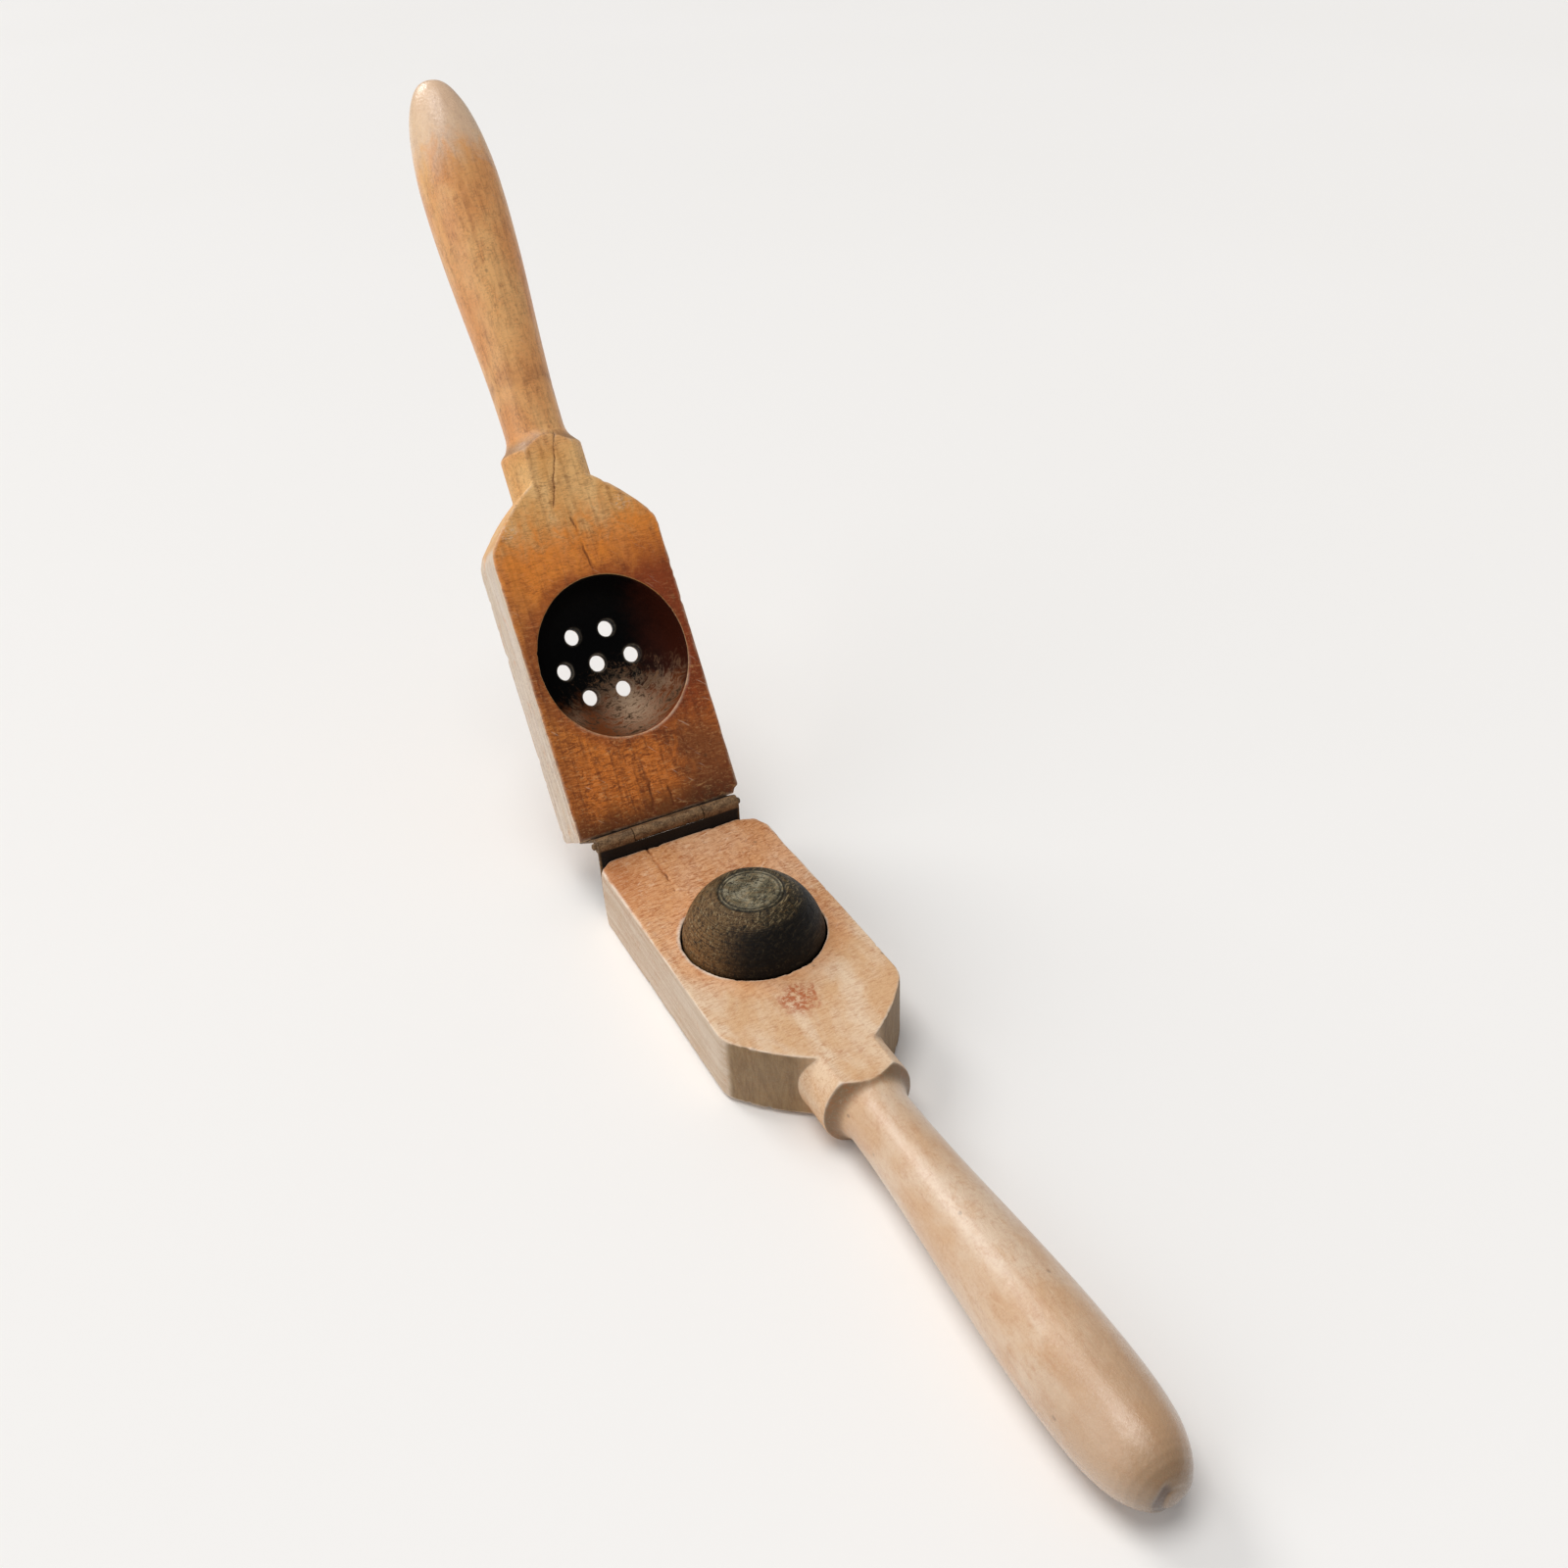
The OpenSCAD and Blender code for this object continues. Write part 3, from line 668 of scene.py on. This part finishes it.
def half(node, name, at, place_of, neck, tip_v, body, material, seed, cracks, worn_corners):
    """One paddle, from its CAD node: worn, cracked, rippled along the grain, knocked and nicked."""
    obj = dense_copy(node, name, at, WOOD_VOXEL)
    mesh = obj.data
    start = get_co(mesh)
    normals = get_normals(mesh)
    place = place_of(start)
    u, v, w = place.T
    worn, sunk, crisp = worn_down(start, place, edge_array(mesh), neck, tip_v, seed, worn_corners)

    change = (sunk * normals).sum(1)
    wear = smoothstep(0.14, 0.42, change)
    hollow = smoothstep(0.12, 0.55, -change)
    crack = crack_mask(place, cracks, seed)
    if node == "lower_paddle":
        crack = np.maximum(crack, end_crease(place, tip_v, seed))
    ripple = field(place * (1, 0.15, 1), 2.4, seed + 5)
    knocks = smoothstep(0.45, 0.8, field(place, 6.0, seed + 7))
    worn -= normals * (0.5 * crack + 0.05 * (1 + ripple) + 0.14 * knocks)[:, None]
    rng = np.random.default_rng(seed)
    edge_points = np.flatnonzero((wear > 0.5) & (crisp < 0.5))
    for at_point in rng.choice(edge_points, NICKS, replace=False):
        reach = rng.uniform(0.8, 2.2)
        near = np.linalg.norm(worn - worn[at_point], axis=1)
        worn -= normals * (reach * 0.2 * smoothstep(reach, 0, near))[:, None]

    # Where the wall of the bowl, or of the recess under the dome, is
    if node == "upper_paddle":
        far = np.hypot((u - BOWL_SHIFT) / BOWL_SHRINK, v - PRESS_V) - BOWL_R
        # The bowl's rim keeps its pale wear only on the side by the hinge, to the right: rubbing, and a painted
        # highlight where the edge faces the light
        rubbed = smoothstep(0.2, 0.9, (0.2 * u - 0.98 * (v - PRESS_V)) / BOWL_R)
        wear *= 1 - smoothstep(2.5, 1.0, np.abs(far)) * (1 - rubbed)
    else:
        far = np.hypot(u, v - PRESS_V) - DOME_R - RECESS_GAP
    bowl = smoothstep(1.0, 0.4, far) * smoothstep(-0.1, -0.6, w) * (w > -HEAD_T + 1.5)
    flip = place_of(np.array([[0.0, 0.0, 1.0]]))[0, 2] - place_of(np.zeros((1, 3)))[0, 2]
    for key, values in (("place", place), ("facing", normals * (1, -1, flip)), ("wear", wear),
                        ("hollow", hollow), ("crack", crack), ("bowl", bowl)):
        set_attribute(mesh, key, values)
    put_back(obj, worn, at, body, material, "maple", node)


# Drying cracks, as (across, along) points on the face and how wide they show
LOWER_CRACKS = [([(-14.2, 0.0), (-14.9, 10.0), (-14.6, 20.0), (-15.6, 31.0)], 0.9)]
UPPER_CRACKS = [
    ([(3.9, 162.5), (-0.9, 147.0), (-5.8, 132.0)], 0.5),
    ([(0.1, 127.0), (1.6, 116.0), (2.8, 103.0)], 0.6),
    ([(-1.0, 15.0), (-2.8, 2.0)], 0.7),
    ([(6.0, 11.0), (6.6, 3.0)], 0.6),
]
lower_wood = wood("lower_wood", LOWER_TONES, lower_stains)
upper_wood = wood("upper_wood", UPPER_TONES, upper_stains)
half("lower_paddle", "lower_half_wood", LOWER_AT, lower_place, LOWER_NECK, LOWER_LEN, "lower_half",
     lower_wood, 11, LOWER_CRACKS, [(HEAD_W / 2, 0.0, 11.0), (-HEAD_W / 2, 0.0, 6.0)])
half("upper_paddle", "upper_half_wood", UPPER_AT, upper_place, UPPER_NECK, UPPER_LEN, "upper_half",
     upper_wood, 23, UPPER_CRACKS, [(HEAD_W / 2, 0.0, 3.5)])


# ---------------------------------------- turned pieces
def turned(name, outline, around):
    """A closed mesh from an outline of (radius, height) that starts and ends on the axis."""
    bm = bmesh.new()
    rings = []
    for radius, height in outline:
        if radius < 1e-6:
            rings.append([bm.verts.new((0, 0, height))])
        else:
            angles = [2 * math.pi * k / around for k in range(around)]
            rings.append([bm.verts.new((radius * math.cos(a), radius * math.sin(a), height)) for a in angles])
    for low, high in zip(rings, rings[1:]):
        for k in range(around):
            j = (k + 1) % around
            corners = [low[k % len(low)], low[j % len(low)], high[j % len(high)], high[k % len(high)]]
            bm.faces.new(list(dict.fromkeys(corners)))
    bmesh.ops.recalc_face_normals(bm, faces=bm.faces)
    mesh = bpy.data.meshes.new(name)
    bm.to_mesh(mesh)
    bm.free()
    obj = bpy.data.objects.new(name, mesh)
    bpy.context.scene.collection.objects.link(obj)
    return obj


def spaced(points, step):
    """The outline with points every step mm or so along it."""
    out = [points[0]]
    for (r0, h0), (r1, h1) in zip(points, points[1:]):
        count = max(1, round(math.hypot(r1 - r0, h1 - h0) / step))
        out += [(r0 + (r1 - r0) * k / count, h0 + (h1 - h0) * k / count) for k in range(1, count + 1)]
    return out


def dome():
    """A truncated ball on a plug, with a rounded shoulder, a double groove and fine turning lines."""
    ball_h = -(DOME_R ** 2 - DOME_TOP_R ** 2 - DOME_H ** 2) / (2 * DOME_H)
    ball_r = math.hypot(DOME_R, ball_h)
    angles = np.linspace(math.atan2(-ball_h, DOME_R), math.atan2(DOME_H - ball_h, DOME_TOP_R), 71)
    side = [(ball_r * math.cos(a), ball_h + ball_r * math.sin(a)) for a in angles]
    plug = [(0.0, -RECESS), (DOME_R - 0.5, -RECESS), (DOME_R, -RECESS + 0.5)]
    outline = spaced(plug + side + [(0.0, DOME_H)], 0.4)
    # Above the face, each round of averaging makes the shoulder a little rounder
    for _ in range(10):
        outline = [p if i in (0, len(outline) - 1) or p[1] < 0.5 else
                   tuple(0.25 * outline[i - 1][k] + 0.5 * p[k] + 0.25 * outline[i + 1][k] for k in (0, 1))
                   for i, p in enumerate(outline)]
    obj = turned("press_dome", outline, 320)
    co = get_co(obj.data)
    r, h = np.hypot(co[:, 0], co[:, 1]), co[:, 2]
    outer_groove = smoothstep(0.8, 0.1, np.abs(r - 12.5))
    inner_groove = 0.8 * smoothstep(0.55, 0.1, np.abs(r - 10.9))
    groove = np.maximum(outer_groove, inner_groove) * (h > DOME_H - 2.5)
    lines = np.array([noise.noise(Vector((y * 1.3 + x * 1.3, 3.0, 7.0))) for x, y in zip(r, h)])
    outward = co - (0, 0, ball_h)
    outward /= np.linalg.norm(outward, axis=1)[:, None]
    dings = field(co, 3.2, 4.0)
    co -= outward * (0.08 + 0.07 * lines + 0.14 * smoothstep(0.25, 0.7, dings) + 0.7 * groove)[:, None]
    set_attribute(obj.data, "place", co * (1, -1, 1) + (0, PRESS_V, 0))
    set_attribute(obj.data, "groove", groove)
    co += (0, -PRESS_V, HEAD_T)
    put_back(obj, co, LOWER_AT, "lower_half", dome_wood(), "dome_wood", "dome")


def pin():
    """The hinge pin, with hammered ends that stand out of the barrel."""
    length = (PIN_HIGH[0] - PIN_LOW[0]) / MM
    outline = [(0.0, 0.0), (PIN_R * 0.45, 0.06), (PIN_R * 0.8, 0.3), (PIN_R * 0.97, 0.75)]
    outline += [(r, length - h) for r, h in reversed(outline)]
    obj = turned("pin", spaced(outline, 0.6), 32)
    co = get_co(obj.data)
    co -= co * (1, 1, 0) * (0.03 * (1 + field(co, 1.5, 8.0)))[:, None]
    co = np.stack([PIN_LOW[0] / MM + co[:, 2], PIN.y / MM + co[:, 0], PIN_Z + co[:, 1]], 1)
    # The pin is painted tan, as rust and painted light
    set_attribute(obj.data, "rust_and_light", np.full(len(co), 0.8))
    put_back(obj, co, LOWER_AT, "lower_half", old_iron, "iron", "hinge_pin")


def leaf(node, name, at, body, seed):
    """A hinge leaf with softened edges and the pitted skin of old iron."""
    obj = dense_copy(node, name, at, IRON_VOXEL)
    co = get_co(obj.data)
    co = relaxed(co, edge_array(obj.data), 2)
    normals = get_normals(obj.data)
    pits = smoothstep(0.15, 0.6, field(co, 1.1, seed))
    skin = field(co, 2.6, seed + 1)
    from_pin = np.hypot(co[:, 1] - PIN.y / MM, co[:, 2] - PIN_Z)
    ends = smoothstep(1.2, 0.3, np.minimum(co[:, 0] - HINGE_LOW[0] / MM, HINGE_HIGH[0] / MM - co[:, 0]))
    # The barrel and the leaves' ends are painted tan, as rust and painted light; the rest of the leaf stays
    # black, as dark iron and painted shade
    rust_and_light = np.maximum(smoothstep(BARREL_R + 0.5, BARREL_R + 0.1, from_pin), 0.8 * ends)
    lip = (from_pin > BARREL_R + 0.05) * smoothstep(BARREL_R + 1.4, BARREL_R + 0.8, from_pin)
    co -= normals * ((0.03 + 0.08 * pits + 0.05 * skin) * (1 - lip))[:, None]
    set_attribute(obj.data, "rust_and_light", rust_and_light)
    put_back(obj, co, at, body, old_iron, "iron", node)


old_iron = iron("old_iron")
dome()
pin()
leaf("lower_leaf", "leaf_lower", LOWER_AT, "lower_half", 31)
leaf("upper_leaf", "leaf_upper", UPPER_AT, "upper_half", 37)


# ---------------------------------------- screws: the CAD nodes, with eased edges
for node, obj in frame["nodes"].items():
    if "screw" in node:
        obj.data.materials.clear()
        obj.data.materials.append(old_iron)
        ease = obj.modifiers.new("ease", "BEVEL")
        ease.width = 0.15 * MM
        ease.segments = 2
        ease.limit_method = "ANGLE"


# ---------------------------------------- the studio
def floor():
    """A plain pale surface, far wider than the view."""
    reach = 8.0
    corners = [(-reach, -reach, 0), (reach, -reach, 0), (reach, reach, 0), (-reach, reach, 0)]
    mesh = bpy.data.meshes.new("floor")
    mesh.from_pydata(corners, [], [(0, 1, 2, 3)])
    obj = bpy.data.objects.new("floor", mesh)
    bpy.context.scene.collection.objects.link(obj)
    obj.location.z = cad_box[0][2]
    g = Graph("floor_paint")
    cloud = g.noise(g.node("ShaderNodeTexCoord").outputs["Object"], 1.5, 2, 0.5)
    paint = g.mix(cloud, colour(240, 238, 235), colour(243, 241, 239))
    mesh.materials.append(g.finish(paint, 0.65, specular=0.25))


def soft_light(name, toward, strength, spread, tint):
    """A wide, soft source in the direction given, even across the whole floor."""
    data = bpy.data.lights.new(name, "SUN")
    data.energy = strength
    data.angle = math.radians(spread)
    data.color = tint
    obj = bpy.data.objects.new(name, data)
    obj.rotation_euler = (-Vector(toward)).to_track_quat("-Z", "Y").to_euler()
    bpy.context.scene.collection.objects.link(obj)


def camera():
    """The view from in front and to the left, looking down at the press."""
    place = Vector((-180.6, -462.9, 397.4)) * MM
    azimuth, elevation, roll = (math.radians(x) for x in (26.12, 34.67, 2.47))
    ahead = Vector((math.sin(azimuth) * math.cos(elevation), math.cos(azimuth) * math.cos(elevation),
                    -math.sin(elevation)))
    right = Vector((math.cos(azimuth), -math.sin(azimuth), 0))
    down = ahead.cross(right)
    right, down = (math.cos(roll) * right + math.sin(roll) * down,
                   math.cos(roll) * down - math.sin(roll) * right)
    turn = Matrix((right, -down, -ahead)).transposed().to_4x4()
    data = bpy.data.cameras.new("camera")
    data.sensor_width = 36.0
    data.lens = 34.96
    obj = bpy.data.objects.new("camera", data)
    obj.matrix_world = Matrix.Translation(place) @ turn
    bpy.context.scene.collection.objects.link(obj)
    bpy.context.scene.camera = obj


floor()
camera()
soft_light("overhead", (-0.16, 0.06, 1.0), 1.42, 34.0, (1.0, 0.985, 0.965))
soft_light("behind", (-0.24, 0.74, 0.62), 0.95, 22.0, (1.0, 0.99, 0.975))
soft_light("side", (-2.2, 0.1, 1.25), 0.72, 50.0, (0.98, 0.99, 1.0))
world = bpy.data.worlds.new("studio")
world.use_nodes = True
backdrop = world.node_tree.nodes["Background"]
backdrop.inputs["Color"].default_value = (0.95, 0.97, 1.0, 1)
backdrop.inputs["Strength"].default_value = 0.29
bpy.context.scene.world = world
bpy.context.scene.view_settings.view_transform = "Standard"
